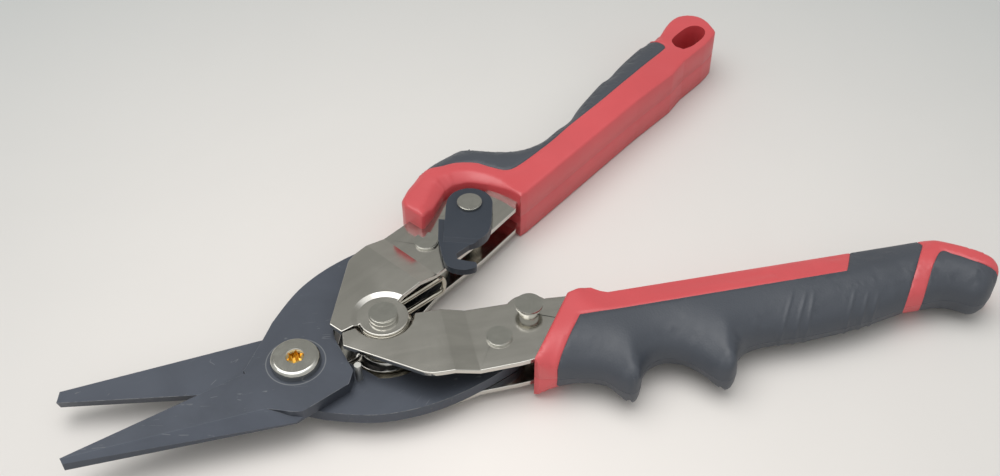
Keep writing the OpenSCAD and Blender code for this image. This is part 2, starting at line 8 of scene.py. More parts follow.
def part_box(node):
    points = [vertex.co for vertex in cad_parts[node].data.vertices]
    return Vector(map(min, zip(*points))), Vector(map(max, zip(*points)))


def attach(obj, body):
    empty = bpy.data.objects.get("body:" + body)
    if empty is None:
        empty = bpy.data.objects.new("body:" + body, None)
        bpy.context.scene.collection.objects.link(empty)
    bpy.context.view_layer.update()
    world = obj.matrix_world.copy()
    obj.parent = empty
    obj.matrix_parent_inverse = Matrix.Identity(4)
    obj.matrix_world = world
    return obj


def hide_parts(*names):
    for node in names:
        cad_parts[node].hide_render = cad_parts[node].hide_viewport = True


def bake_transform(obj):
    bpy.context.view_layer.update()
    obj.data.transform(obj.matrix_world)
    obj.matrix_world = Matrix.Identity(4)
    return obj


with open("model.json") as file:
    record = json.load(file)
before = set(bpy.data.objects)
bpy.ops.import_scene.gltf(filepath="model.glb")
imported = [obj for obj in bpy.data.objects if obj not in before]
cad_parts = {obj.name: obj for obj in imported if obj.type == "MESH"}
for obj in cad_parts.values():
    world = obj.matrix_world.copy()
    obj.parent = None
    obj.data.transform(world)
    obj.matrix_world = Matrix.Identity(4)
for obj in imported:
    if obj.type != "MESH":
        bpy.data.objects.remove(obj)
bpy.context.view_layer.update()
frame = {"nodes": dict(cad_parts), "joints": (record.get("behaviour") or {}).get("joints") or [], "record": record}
mm = 0.001
print("frame loaded:", len(frame["nodes"]), "nodes")

camera = {
    "place": (-0.05029, -0.19414, 0.2426),  # over the blades' side of the bench
    "turn": 60.13,  # degrees from +X that it looks along
    "dip": 44.03,  # degrees down
    "roll": -0.43,
    "focal": 1157.6,  # in the same units as the frame's width
    "wide": 1000,
}


def addCamera(c):
    data = bpy.data.cameras.new("viewCamera")
    data.sensor_width = 36
    data.lens = c["focal"] * data.sensor_width / c["wide"]
    data.clip_start = 0.01
    data.clip_end = 20
    obj = bpy.data.objects.new("viewCamera", data)
    turn, dip = math.radians(c["turn"]), math.radians(c["dip"])
    ahead = Vector((math.cos(turn) * math.cos(dip), math.sin(turn) * math.cos(dip), -math.sin(dip)))
    facing = ahead.to_track_quat("-Z", "Y").to_matrix().to_4x4()
    obj.matrix_world = Matrix.Translation(c["place"]) @ facing @ Matrix.Rotation(math.radians(c["roll"]), 4, "Z")
    bpy.context.scene.collection.objects.link(obj)
    bpy.context.scene.camera = obj


addCamera(camera)

# ---- shared shader groups ----


def newGroup(name, inputs, outputs):
    # a group whose sockets are all numbers, with the inputs' defaults
    group = bpy.data.node_groups.new(name, "ShaderNodeTree")
    for label, value in inputs.items():
        socket = group.interface.new_socket(label, in_out="INPUT", socket_type="NodeSocketFloat")
        socket.default_value = value
    for label in outputs:
        group.interface.new_socket(label, in_out="OUTPUT", socket_type="NodeSocketFloat")
    return group, group.nodes.new("NodeGroupInput").outputs, group.nodes.new("NodeGroupOutput").inputs


def addNode(tree, kind, settings=None, **sockets):
    node = tree.nodes.new("ShaderNode" + kind)
    for key, value in (settings or {}).items():
        setattr(node, key, value)
    for key, value in sockets.items():
        socket = node.inputs[int(key[1:])] if key[0] == "i" and key[1:].isdigit() else node.inputs[key]
        if isinstance(value, bpy.types.NodeSocket):
            tree.links.new(value, socket)
        else:
            socket.default_value = value
    return node


def maths(tree, operation, a, b=0.0, clamp=False):
    return addNode(tree, "Math", {"operation": operation, "use_clamp": clamp}, i0=a, i1=b).outputs[0]


def remap(tree, value, low, high, toLow=0.0, toHigh=1.0):
    node = addNode(tree, "MapRange", {"clamp": True}, Value=value)
    for key, number in (("From Min", low), ("From Max", high), ("To Min", toLow), ("To Max", toHigh)):
        node.inputs[key].default_value = number
    return node.outputs[0]


def blendColour(tree, factor, a, b):
    node = addNode(tree, "Mix", {"data_type": "RGBA"}, i0=factor)
    for index, value in ((6, a), (7, b)):
        if isinstance(value, bpy.types.NodeSocket):
            tree.links.new(value, node.inputs[index])
        else:
            node.inputs[index].default_value = (*value, 1)
    return node.outputs[2]


def vectorMaths(tree, operation, a, b):
    return addNode(tree, "VectorMath", {"operation": operation}, i0=a, i1=b).outputs[0]


def scaled(tree, colour, factor):
    return addNode(tree, "VectorMath", {"operation": "SCALE"}, i0=colour, Scale=factor).outputs[0]


def objectPlace(tree):
    return addNode(tree, "TexCoord").outputs["Object"]


def noise(tree, place, scale, **settings):
    return addNode(tree, "TexNoise", None, Vector=place, Scale=scale, **settings).outputs["Fac"]


def edgeWearAndHighlightGroup():
    # where a surface turns within Radius of an edge, broken up by noise: rubbed wear on the blades and grips, a painted
    # edge highlight on the nickel plates and the latch
    g, start, end = newGroup("edgeWearAndHighlight", {"Radius": 0.0004, "Breakup": 900.0, "Amount": 1.0}, ["Mask"])
    bevel = addNode(g, "Bevel", {"samples": 6}, Radius=start["Radius"])
    normal = addNode(g, "NewGeometry").outputs["Normal"]
    facing = addNode(g, "VectorMath", {"operation": "DOT_PRODUCT"}, i0=bevel.outputs[0], i1=normal).outputs["Value"]
    turned = remap(g, facing, 0.995, 0.86)
    patches = noise(g, objectPlace(g), start["Breakup"], Detail=4.0, Roughness=0.6)
    wornAndHighlight = maths(g, "MULTIPLY", turned, remap(g, patches, 0.38, 0.62))
    g.links.new(maths(g, "MULTIPLY", wornAndHighlight, start["Amount"], True), end["Mask"])
    return g


def grainGroup():
    # fine isotropic pebble grain for moulded surfaces
    g, start, end = newGroup("fineGrain", {"Scale": 3000.0, "Soft": 0.5}, ["Height"])
    place = objectPlace(g)
    cells = addNode(g, "TexVoronoi", {"feature": "SMOOTH_F1"}, Vector=place, Scale=start["Scale"],
                    Smoothness=start["Soft"])
    fine = noise(g, place, start["Scale"], Detail=3.0)
    both = maths(g, "ADD", maths(g, "MULTIPLY", cells.outputs["Distance"], 0.7), maths(g, "MULTIPLY", fine, 0.4))
    g.links.new(both, end["Height"])
    return g


def turnedPlace(tree, angle):
    return addNode(tree, "VectorRotate", {"rotation_type": "Z_AXIS"}, Vector=objectPlace(tree), Angle=angle).outputs[0]


def rollingGroup():
    # long fine lines left by rolling or grinding, at an angle in plan
    g, start, end = newGroup("rollingLines", {"Angle": 0.0, "Scale": 900.0, "Stretch": 0.04}, ["Height", "Streak"])
    across = addNode(g, "CombineXYZ", None, X=start["Stretch"], Y=1.0, Z=1.0).outputs[0]
    place = vectorMaths(g, "MULTIPLY", turnedPlace(g, start["Angle"]), across)
    g.links.new(noise(g, place, start["Scale"], Detail=5.0, Roughness=0.65), end["Height"])
    g.links.new(noise(g, place, maths(g, "MULTIPLY", start["Scale"], 0.15), Detail=2.0), end["Streak"])
    return g


def smudgeGroup():
    # slow cloudy variation, such as handling marks
    g, start, end = newGroup("smudges", {"Scale": 60.0, "Low": 0.0, "High": 1.0}, ["Value"])
    clouds = noise(g, objectPlace(g), start["Scale"], Detail=5.0, Roughness=0.6, Distortion=0.6)
    span = maths(g, "SUBTRACT", start["High"], start["Low"])
    spread = maths(g, "MULTIPLY", remap(g, clouds, 0.32, 0.68), span)
    g.links.new(maths(g, "ADD", spread, start["Low"]), end["Value"])
    return g


def scratchGroup():
    # sparse thin scratches running one way
    g, start, end = newGroup("scratches", {"Angle": 0.0, "Scale": 120.0, "Amount": 1.0}, ["Mask"])
    thin = vectorMaths(g, "MULTIPLY", turnedPlace(g, start["Angle"]), (0.12, 1.0, 0.3))
    bentLines = noise(g, thin, start["Scale"], Detail=1.0, Distortion=0.3)
    narrow = remap(g, maths(g, "ABSOLUTE", maths(g, "SUBTRACT", bentLines, 0.5)), 0.006, 0.0)
    patches = noise(g, objectPlace(g), maths(g, "MULTIPLY", start["Scale"], 1.3), Detail=2.0)
    some = maths(g, "MULTIPLY", narrow, remap(g, patches, 0.56, 0.62))
    g.links.new(maths(g, "MULTIPLY", some, start["Amount"], True), end["Mask"])
    return g


groups = {
    "edgeWearAndHighlight": edgeWearAndHighlightGroup(),
    "fineGrain": grainGroup(),
    "rollingLines": rollingGroup(),
    "smudges": smudgeGroup(),
    "scratches": scratchGroup(),
}


def placeGroup(tree, name, **values):
    node = tree.nodes.new("ShaderNodeGroup")
    node.node_tree = groups[name]
    for key, value in values.items():
        node.inputs[key].default_value = value
    return node.outputs


def newMaterial(name, **fixed):
    m = bpy.data.materials.new(name)
    m.use_nodes = True
    shader = m.node_tree.nodes["Principled BSDF"]
    for key, value in fixed.items():
        shader.inputs[key.replace("_", " ")].default_value = value
    return m, m.node_tree, shader


def shaded(tree, look, colour):
    # a slow cloudy change of tone
    low, high = look["shade"]
    return scaled(tree, colour, placeGroup(tree, "smudges", Scale=look["shadeScale"], Low=low, High=high)["Value"])


def surface(tree, shader, look, base, height):
    # colour, cloudy roughness and a fine relief
    low, high = look["roughness"]
    rough = placeGroup(tree, "smudges", Scale=look["roughScale"], Low=low, High=high)["Value"]
    bump = addNode(tree, "Bump", None, Height=height, Strength=look["bump"], Distance=look["bumpDepth"])
    for value, name in ((base, "Base Color"), (rough, "Roughness"), (bump.outputs[0], "Normal")):
        tree.links.new(value, shader.inputs[name])


def fromAxis(tree, centre):
    # the place seen from a round part's centre, and the distance from its upright axis
    middle = vectorMaths(tree, "SUBTRACT", objectPlace(tree), centre)
    flat = vectorMaths(tree, "MULTIPLY", middle, (1, 1, 0))
    return middle, addNode(tree, "VectorMath", {"operation": "LENGTH"}, i0=flat).outputs["Value"]


# ---- finishes ----

blackSteelLook = {
    "colour": (0.072, 0.082, 0.103), "shade": (0.85, 1.12), "shadeScale": 35.0,
    "wornAndHighlight": (0.32, 0.33, 0.33), "edge": 0.00028, "breakup": 500.0, "wearAndHighlight": 0.75,
    "scratchScale": 260.0, "scratches": 0.35,
    "roughness": (0.36, 0.48), "roughScale": 70.0,
    "grain": 2600, "soft": 0.4, "bump": 0.16, "bumpDepth": 0.00005,
}


def blackSteel(name, look, angle, ring=None):
    m, t, s = newMaterial(name, Metallic=0.55)
    wearAndHighlight = placeGroup(t, "edgeWearAndHighlight", Radius=look["edge"], Breakup=look["breakup"], Amount=look["wearAndHighlight"])["Mask"]
    lines = placeGroup(t, "scratches", Angle=angle, Scale=look["scratchScale"], Amount=look["scratches"])["Mask"]
    marks = maths(t, "MAXIMUM", wearAndHighlight, lines)
    if ring:
        # a painted highlight: a thin light ring round the bolt's head, standing in for the reflection of its side in
        # the blade
        away = fromAxis(t, ring["centre"])[1]
        off = maths(t, "ABSOLUTE", maths(t, "SUBTRACT", away, ring["radius"]))
        rubbedAndHighlight = maths(t, "MULTIPLY", remap(t, off, ring["width"], 0.0), ring["amount"])
        marks = maths(t, "MAXIMUM", marks, rubbedAndHighlight)
    # the lighter colour goes on the edge wear and scratches, and on the front blade on the painted highlight ring
    base = blendColour(t, marks, shaded(t, look, look["colour"]), look["wornAndHighlight"])
    surface(t, s, look, base, placeGroup(t, "fineGrain", Scale=look["grain"], Soft=look["soft"])["Height"])
    return m


plateLook = {
    "colour": (0.565, 0.55, 0.51), "streaks": (0.9, 1.06),
    # a lighter colour along the plates' edges, a painted edge highlight
    "edgeHighlightColour": (0.76, 0.74, 0.69), "edge": 0.00025, "breakup": 300.0, "wearAndHighlight": 0.6,
    "roughness": (0.11, 0.2), "roughScale": 55.0,
    "lines": 1500, "stretch": 0.05, "bump": 0.08, "bumpDepth": 0.00004,
}


def nickel(name, look, angle):
    m, t, s = newMaterial(name, Metallic=1.0)
    roll = placeGroup(t, "rollingLines", Angle=angle, Scale=look["lines"], Stretch=look["stretch"])
    base = scaled(t, look["colour"], remap(t, roll["Streak"], 0.3, 0.7, *look["streaks"]))
    # painted edge highlight: the edges blend to the lighter colour
    wearAndHighlight = placeGroup(t, "edgeWearAndHighlight", Radius=look["edge"], Breakup=look["breakup"], Amount=look["wearAndHighlight"])["Mask"]
    surface(t, s, look, blendColour(t, wearAndHighlight, base, look["edgeHighlightColour"]), roll["Height"])
    return m


turnedLook = {
    "colour": (0.56, 0.555, 0.515), "shade": (0.93, 1.04), "shadeScale": 380.0,
    "roughness": (0.07, 0.13), "roughScale": 240.0,
    "rings": 5200.0, "bump": 0.03, "bumpDepth": 0.00001,
}


def turnedSteel(name, look, centre, socket=None):
    # faces turned on a lathe, with fine rings round the axis
    m, t, s = newMaterial(name, Metallic=1.0)
    middle, away = fromAxis(t, centre)
    rings = noise(t, addNode(t, "CombineXYZ", None, X=away).outputs[0], look["rings"], Detail=3.0)
    base = shaded(t, look, look["colour"])
    if socket:
        within = remap(t, away, socket["radius"] + socket["fade"], socket["radius"] - socket["fade"])
        below = remap(t, addNode(t, "SeparateXYZ", None, Vector=middle).outputs["Z"], 0.0, -socket["depth"])
        base = blendColour(t, maths(t, "MULTIPLY", within, below), base, socket["colour"])
    surface(t, s, look, base, rings)
    return m


zincLook = {
    "colour": (0.55, 0.55, 0.52), "shade": (0.85, 1.08), "shadeScale": 300.0,
    "roughness": (0.3, 0.46), "roughScale": 200.0,
    "grain": 4200.0, "soft": 0.3, "bump": 0.1, "bumpDepth": 0.00004,
}


def zinc(name, look):
    m, t, s = newMaterial(name, Metallic=1.0)
    grain = placeGroup(t, "fineGrain", Scale=look["grain"], Soft=look["soft"])["Height"]
    surface(t, s, look, shaded(t, look, look["colour"]), grain)
    return m


wireLook = {
    "colour": (0.58, 0.55, 0.47), "dark": (0.40, 0.37, 0.30),
    "roughness": (0.1, 0.18), "roughScale": 260.0,
    "angle": 0.2, "lines": 2600.0, "stretch": 0.12, "bump": 0.15, "bumpDepth": 0.00004,
}


def wire(name, look):
    m, t, s = newMaterial(name, Metallic=1.0)
    drawn = placeGroup(t, "rollingLines", Angle=look["angle"], Scale=look["lines"], Stretch=look["stretch"])
    base = blendColour(t, remap(t, drawn["Streak"], 0.4, 0.75), look["colour"], look["dark"])
    surface(t, s, look, base, drawn["Height"])
    return m


mouldedLook = {
    "shade": (0.93, 1.05), "shadeScale": 28.0, "roughScale": 60.0,
    "edge": 0.0005, "breakup": 260.0, "soft": 0.5, "bumpDepth": 0.00008,
}
redLook = {
    **mouldedLook, "colour": (0.61, 0.068, 0.078), "paleAndHighlight": (0.78, 0.16, 0.15), "wearAndHighlight": 0.25,
    "roughness": (0.34, 0.46), "specular": 0.8, "grain": 2300.0, "bump": 0.1,
}
softLook = {
    **mouldedLook, "colour": (0.048, 0.056, 0.071), "paleAndHighlight": (0.11, 0.125, 0.15), "wearAndHighlight": 0.35,
    "roughness": (0.43, 0.54), "specular": 0.6, "grain": 1900.0, "bump": 0.5,
}
# the latch's edges pale strongly, a painted edge highlight with some rubbed wear
latchLook = {
    **mouldedLook, "colour": (0.024, 0.032, 0.046), "paleAndHighlight": (0.07, 0.085, 0.105), "wearAndHighlight": 0.8,
    "roughness": (0.3, 0.42), "specular": 0.5, "grain": 2600.0, "bump": 0.1,
}


def moulded(name, look):
    m, t, s = newMaterial(name, Specular_IOR_Level=look["specular"])
    # pale edges: rubbed wear on the grips, mostly a painted edge highlight on the latch
    rubbedAndHighlight = placeGroup(t, "edgeWearAndHighlight", Radius=look["edge"], Breakup=look["breakup"], Amount=look["wearAndHighlight"])["Mask"]
    base = blendColour(t, rubbedAndHighlight, shaded(t, look, look["colour"]), look["paleAndHighlight"])
    surface(t, s, look, base, placeGroup(t, "fineGrain", Scale=look["grain"], Soft=look["soft"])["Height"])
    return m


def centreOf(node):
    low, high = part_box(node)
    return (low + high) / 2


def topOf(node):
    low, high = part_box(node)
    return Vector(((low.x + high.x) / 2, (low.y + high.y) / 2, high.z))


pivot = Vector(next(j["pos_m"] for j in frame["joints"] if j["name"] == "handle_pivot"))
rivetSeat = {"along": 28.6, "out": 12.7}  # a blade rivet in the closed handle, from its pivot
upperRivet = centreOf("upper_blade_rivet") - pivot
handleOpen = math.atan2(upperRivet.y, upperRivet.x) - math.atan2(rivetSeat["out"], rivetSeat["along"])

finishes = {
    # the front blade gets a painted highlight ring round the bolt's head
    "front_blade": blackSteel("frontBladeSteel", blackSteelLook, math.radians(25), {
        "centre": centreOf("pivot_bolt"), "radius": 0.0077, "width": 0.00022, "amount": 0.5}),
    "rear_blade": blackSteel("rearBladeSteel", blackSteelLook, math.radians(-20)),
    "upper_front_plate": nickel("upperPlateNickel", plateLook, -handleOpen),
    "lower_front_plate": nickel("lowerPlateNickel", plateLook, handleOpen),
    "latch_lever": moulded("latchPlastic", latchLook),
    "torsion_spring": wire("springWire", wireLook),
    "red": moulded("redPlastic", redLook),
    "soft": moulded("softCover", softLook),
    "zinc": zinc("zincPlate", zincLook),
    "pivot_bolt": turnedSteel("boltSteel", turnedLook, topOf("pivot_bolt"), {
        "radius": 0.0025, "fade": 0.0001, "depth": 0.0005, "colour": (0.80, 0.58, 0.22)}),
}
for node in ("handle_pivot_pin", "upper_blade_rivet", "lower_blade_rivet", "latch_rivet", "lock_post"):
    finishes[node] = turnedSteel(node.split("_")[0] + node.split("_")[1].title() + "Steel", turnedLook, topOf(node))
finishes["upper_back_plate"] = finishes["upper_front_plate"]
finishes["lower_back_plate"] = finishes["lower_front_plate"]
finishBySlot = {"zinc_steel": "zinc", "bright_steel": "zinc", "black_plastic": "latch_lever",
                "red_plastic": "red", "soft_black": "soft"}
edgeBreak = {  # how far each kept node's edges are rounded, in mm
    "front_blade": 0.22, "rear_blade": 0.22, "upper_front_plate": 0.3, "upper_back_plate": 0.3,
    "lower_front_plate": 0.3, "lower_back_plate": 0.3, "latch_lever": 0.55, "pivot_bolt": 0.08,
}
smallBreak = 0.15  # every other node's, in mm
edgeTurn = {"bright_steel": 12}  # degrees between two faces that make an edge: less where shallow slopes show
plainTurn = 28
weldWithin = 0.002 * mm


def finishNode(row):
    node = frame["nodes"][row["node"]]
    finish = finishes.get(row["node"]) or finishes[finishBySlot[row["material_slot"]]]
    node.data.materials.clear()
    node.data.materials.append(finish)
    weld = node.modifiers.new("weld", "WELD")
    weld.merge_threshold = weldWithin
    bevel = node.modifiers.new("edgeBreak", "BEVEL")
    bevel.width = edgeBreak.get(row["node"], smallBreak) * mm
    bevel.segments = 3 if row["node"] == "latch_lever" else 2
    bevel.limit_method = "ANGLE"
    bevel.angle_limit = math.radians(edgeTurn.get(row["material_slot"], plainTurn))
    bevel.harden_normals = True
    bevel.use_clamp_overlap = True


for row in frame["record"]["subparts"]:
    finishNode(row)
print("finishes on the packed nodes")

# ---- moulded grips ----
# Points are in mm in the closed handle's own axes: along it, outwards, then the reach and the drop of the
# rounded edge there, then 1 for a round edge or 0 for a plain slope.

meshing = {  # in mm
    "outlineStep": 0.55,
    "seamStep": 0.6,
    "seamSide": 0.3,  # a row of points runs this far off either side of a seam
    "rings": (20, 35, 50, 65, 80, 90),  # degrees round the rounded edge, a row of points at each
    "ringGap": 0.15,
    "ringSlack": 0.04,  # how much lower another stretch's edge may be before a ring's point is left out
    "seamGap": 0.2,
    "fineGap": 0.3,
    "fieldGap": 0.6,  # share of the field's own spacing
    "rowStep": 0.87,  # rows of a field, as a share of its spacing
}
block = 2000  # points handled at a time
skin = {
    "seamDepth": 0.22,
    "seamReach": 0.3,
    "thinnest": 0.12,
    "lowest": 0.1,
    "partingDepth": 0.14,
    "partingHalf": 0.3,  # the parting groove's half width
    "partingShare": 0.6,  # of the wall's height, where the wall is low
}


def smoothRun(points, gap):
    # a smooth curve through the points, its edge values going straight from one to the next
    p = [np.array(q, float) for q in points]
    out = []
    for i in range(len(p) - 1):
        a, b, c, d = p[max(i - 1, 0)], p[i], p[i + 1], p[min(i + 2, len(p) - 1)]
        n = max(1, round(np.linalg.norm((c - b)[:2]) / gap))
        for k in range(n):
            t = k / n
            q = 0.5 * (2 * b + (c - a) * t + (2 * a - 5 * b + 4 * c - d) * t ** 2 + (3 * b - a - 3 * c + d) * t ** 3)
            q[2:] = b[2:] + (c[2:] - b[2:]) * t
            out.append(q)
    return out + [p[-1]]


def straightRun(points, gap):
    p = [np.array(q, float) for q in points]
    out = [p[0]]
    for b, c in zip(p, p[1:]):
        n = max(1, round(np.linalg.norm((c - b)[:2]) / gap))
        out += [b + (c - b) * k / n for k in range(1, n + 1)]
    return out


def anyRun(kind, points, gap):
    return smoothRun(points, gap) if kind == "smooth" else straightRun(points, gap)


def bare(points):
    # places that carry no rounded edge
    return [(*p, 0, 0, 0) for p in points]


def seamLine(seam):
    kind, points = seam
    return np.array(anyRun(kind, bare(points), meshing["seamStep"]))


def closedLoop(runs, gap):
    out = []
    for kind, points in runs:
        run = anyRun(kind, points, gap)
        if out:
            out += straightRun([out[-1], run[0]], gap)[1:-1]
        out += run
    out += straightRun([out[-1], out[0]], gap)[1:-1]
    return np.array(out)


def inside(points, loop):
    # which points lie within a closed outline
    a, b = loop[:, :2], np.roll(loop[:, :2], -1, axis=0)
    hit = np.zeros(len(points), bool)
    for k in range(0, len(points), block):
        p = points[k:k + block]
        x, y = p[:, 0:1], p[:, 1:2]
        spans = (a[None, :, 1] > y) != (b[None, :, 1] > y)
        rise = np.where(b[:, 1] == a[:, 1], 1e-12, b[:, 1] - a[:, 1])
        cross = a[None, :, 0] + (y - a[None, :, 1]) / rise[None] * (b - a)[None, :, 0]
        hit[k:k + block] = (spans & (x < cross)).sum(1) % 2 == 1
    return hit


def toLine(points, line, closed):
    # distance to each stretch of a line, and how far along that stretch
    a = line[:, :2] if closed else line[:-1, :2]
    b = np.roll(line[:, :2], -1, axis=0) if closed else line[1:, :2]
    ab = b - a
    size = np.maximum((ab ** 2).sum(1), 1e-12)
    rel = points[:, None, :] - a[None]
    t = np.clip((rel * ab[None]).sum(2) / size[None], 0, 1)
    return np.linalg.norm(rel - t[..., None] * ab[None], axis=2), t


def nearest(points, line, closed=False):
    out = np.empty(len(points))
    for k in range(0, len(points), block):
        out[k:k + block] = toLine(points[k:k + block], line, closed)[0].min(1)
    return out


def edgeDrop(points, loop):
    # how far the skin falls below the grip's flat face near its outline
    out = np.zeros(len(points))
    ahead = np.roll(loop, -1, axis=0)
    for k in range(0, len(points), block):
        d, t = toLine(points[k:k + block, :2], loop, True)
        reach, drop, rounding = [loop[None, :, i] + (ahead - loop)[None, :, i] * t for i in (2, 3, 4)]
        u = np.clip(d / reach, 0, 1)
        fall = rounding * (1 - np.sqrt(np.maximum(1 - (1 - u) ** 2, 0))) + (1 - rounding) * (1 - u)
        out[k:k + block] = (drop * fall).max(1)
    return out


def thinOut(points, gaps, taken=()):
    # keeps points that are further than their gap from every earlier one
    cells, size = {}, max(gaps) if len(gaps) else 1.0

    def near(p, gap):
        cx, cy = int(p[0] // size), int(p[1] // size)
        for i in (cx - 1, cx, cx + 1):
            for j in (cy - 1, cy, cy + 1):
                for q in cells.get((i, j), ()):
                    if (q[0] - p[0]) ** 2 + (q[1] - p[1]) ** 2 < gap * gap:
                        return True
        return False

    def put(p):
        cells.setdefault((int(p[0] // size), int(p[1] // size)), []).append(p)

    for p in taken:
        put(p)
    kept = []
    for p, gap in zip(points, gaps):
        if not near(p, gap):
            put(p)
            kept.append(p)
    return np.array(kept)


def inwardOf(loop):
    along = (np.roll(loop, -1, axis=0) - np.roll(loop, 1, axis=0))[:, :2]
    return np.stack([-along[:, 1], along[:, 0]], 1) / np.linalg.norm(along, axis=1)[:, None]


def edgeRings(loop):
    # rows of points down the rounded edge, left out where another stretch's edge is lower
    rings, inward = [], inwardOf(loop)
    for theta in meshing["rings"]:
        cosine, sine = math.cos(math.radians(theta)), math.sin(math.radians(theta))
        depth = loop[:, 2] * (1 - cosine)
        ring = loop[:, :2] + inward * depth[:, None]
        own = loop[:, 3] * (loop[:, 4] * (1 - sine) + (1 - loop[:, 4]) * cosine)
        rings.append(ring[inside(ring, loop) & (edgeDrop(ring, loop) < own + meshing["ringSlack"])])
    return np.concatenate(rings)


def evenField(low, high, gap):
    rows = []
    for j, y in enumerate(np.arange(low[1], high[1], gap * meshing["rowStep"])):
        rows += [(x + (j % 2) * gap / 2, y) for x in np.arange(low[0], high[0], gap)]
    return np.array(rows)


def fineField(zone):
    # a finer field close to a zone's lines
    field = evenField(zone["low"], zone["high"], zone["gap"])
    close = np.min([nearest(field, line) for line in zone["lines"]], axis=0)
    return field[close < zone["reach"]]


def besideSeam(seam):
    away = np.gradient(seam[:, :2], axis=0)
    side = np.stack([-away[:, 1], away[:, 0]], 1) / np.maximum(np.linalg.norm(away, axis=1), 1e-9)[:, None]
    return [seam[:, :2] + side * offset for offset in (-meshing["seamSide"], meshing["seamSide"])]


def plan(loop, seams, holes, fineZones, gap):
    # a flat triangle mesh of the outline, dense where its edge is rounded
    fixed = np.concatenate([line[:, :2] for line in [loop] + seams + holes])
    beside = np.concatenate([row for seam in seams for row in besideSeam(seam)])
    fine = np.concatenate([np.zeros((0, 2))] + [fineField(zone) for zone in fineZones])
    rings = edgeRings(loop)
    field = evenField(loop[:, :2].min(0), loop[:, :2].max(0), gap)
    gaps = [(beside, meshing["seamGap"]), (fine, meshing["fineGap"]), (rings, meshing["ringGap"]),
            (field, gap * meshing["fieldGap"])]
    free = thinOut(np.concatenate([points for points, _ in gaps]),
                   np.concatenate([np.full(len(points), own) for points, own in gaps]), fixed)
    points = np.concatenate([fixed, free[inside(free, loop)]])
    edges, start = [], 0
    for line, closed in [(loop, True)] + [(s, False) for s in seams] + [(h, True) for h in holes]:
        n = len(line)
        edges += [(start + i, start + (i + 1) % n) for i in range(n if closed else n - 1)]
        start += n
    verts, _, faces, _, _, _ = geometry.delaunay_2d_cdt([Vector(p) for p in points], edges, [], 0, 1e-4)
    verts, faces = np.array([tuple(v) for v in verts]), np.array([tuple(f) for f in faces])
    turned = np.cross(verts[faces[:, 1]] - verts[faces[:, 0]], verts[faces[:, 2]] - verts[faces[:, 0]])
    faces[turned < 0] = faces[turned < 0][:, ::-1]
    faces = faces[np.abs(turned) > 1e-6]
    centres = verts[faces].mean(1)
    keep = inside(centres, loop)
    for h in holes:
        keep &= ~inside(centres, h)
    return verts, faces[keep], centres[keep]


def skinNormals(verts, faces, height):
    # each point's direction away from the skin
    solid = np.column_stack([verts, height])
    a, b, c = solid[faces[:, 0]], solid[faces[:, 1]], solid[faces[:, 2]]
    n = np.cross(b - a, c - a)
    out = np.zeros_like(solid)
    for i in range(3):
        np.add.at(out, faces[:, i], n)
    return out / np.maximum(np.linalg.norm(out, axis=1), 1e-12)[:, None]


def relax(height, faces, fixed, rounds):
    # eases sharp creases in the skin
    pairs = np.concatenate([faces[:, [0, 1]], faces[:, [1, 2]], faces[:, [2, 0]]])
    pairs = np.concatenate([pairs, pairs[:, ::-1]])
    count = np.bincount(pairs[:, 0], minlength=len(height))
    for _ in range(rounds):
        mean = np.bincount(pairs[:, 0], weights=height[pairs[:, 1]], minlength=len(height)) / np.maximum(count, 1)
        height = np.where(fixed, height, 0.5 * height + 0.5 * mean)
    return height


def turned(x, y, upper):
    # from a closed handle's own axes to the open tool's
    turn = handleOpen if upper else -handleOpen
    y = y if upper else -y
    return x * math.cos(turn) - y * math.sin(turn), x * math.sin(turn) + y * math.cos(turn)


def toWorld(points, upper):
    x, y = turned(points[:, 0], points[:, 1], upper)
    return np.stack([x, y, points[:, 2]], 1) * mm + np.array(pivot)


def pushedSkin(verts, faces, height, push):
    # one face of the grip, with its ribs and seams pushed out or in along its own normals
    height = np.maximum(height, skin["thinnest"])
    moved = np.column_stack([verts, height]) + skinNormals(verts, faces, height) * push[:, None]
    moved[:, 2] = np.maximum(moved[:, 2], skin["lowest"])
    return moved


def partingPlaces(verts, loop, onLoop, front, back):
    # the wall's middle, drawn in as the fine line where two mould halves meet
    tree = kdtree.KDTree(len(loop))
    for i, p in enumerate(loop):
        tree.insert((p[0], p[1], 0), i)
    tree.balance()
    inward = inwardOf(loop)
    middle = (front[:, :2] + back[:, :2]) / 2
    for i in np.nonzero(onLoop)[0]:
        middle[i] += skin["partingDepth"] * inward[tree.find((*verts[i], 0))[1]]
    return middle


def wallRows(verts, loop, onLoop, front, back):
    # the points of the front face, of three rows down the wall, and of the back face
    limit = np.minimum(front[:, 2], -back[:, 2]) * skin["partingShare"]
    step = np.clip(skin["partingHalf"], -limit, limit)
    middle = partingPlaces(verts, loop, onLoop, front, back)
    walls = [np.column_stack(row) for row in ((front[:, :2], step), (middle, 0 * step), (back[:, :2], -step))]
    return [front] + walls + [back]


def closedPolys(own, rows, n):
    # front and back faces, and the wall between them round their rim
    ways = dict.fromkeys((f[i], f[(i + 1) % 3]) for f in own for i in range(3))
    rim = [(a, b) for a, b in ways if (b, a) not in ways]
    polys = [tuple(f) for f in own] + [tuple(f[::-1] + (rows - 1) * n) for f in own]
    for a, b in rim:
        polys += [(b + r * n, a + r * n, a + (r + 1) * n, b + (r + 1) * n) for r in range(rows - 1)]
    return polys


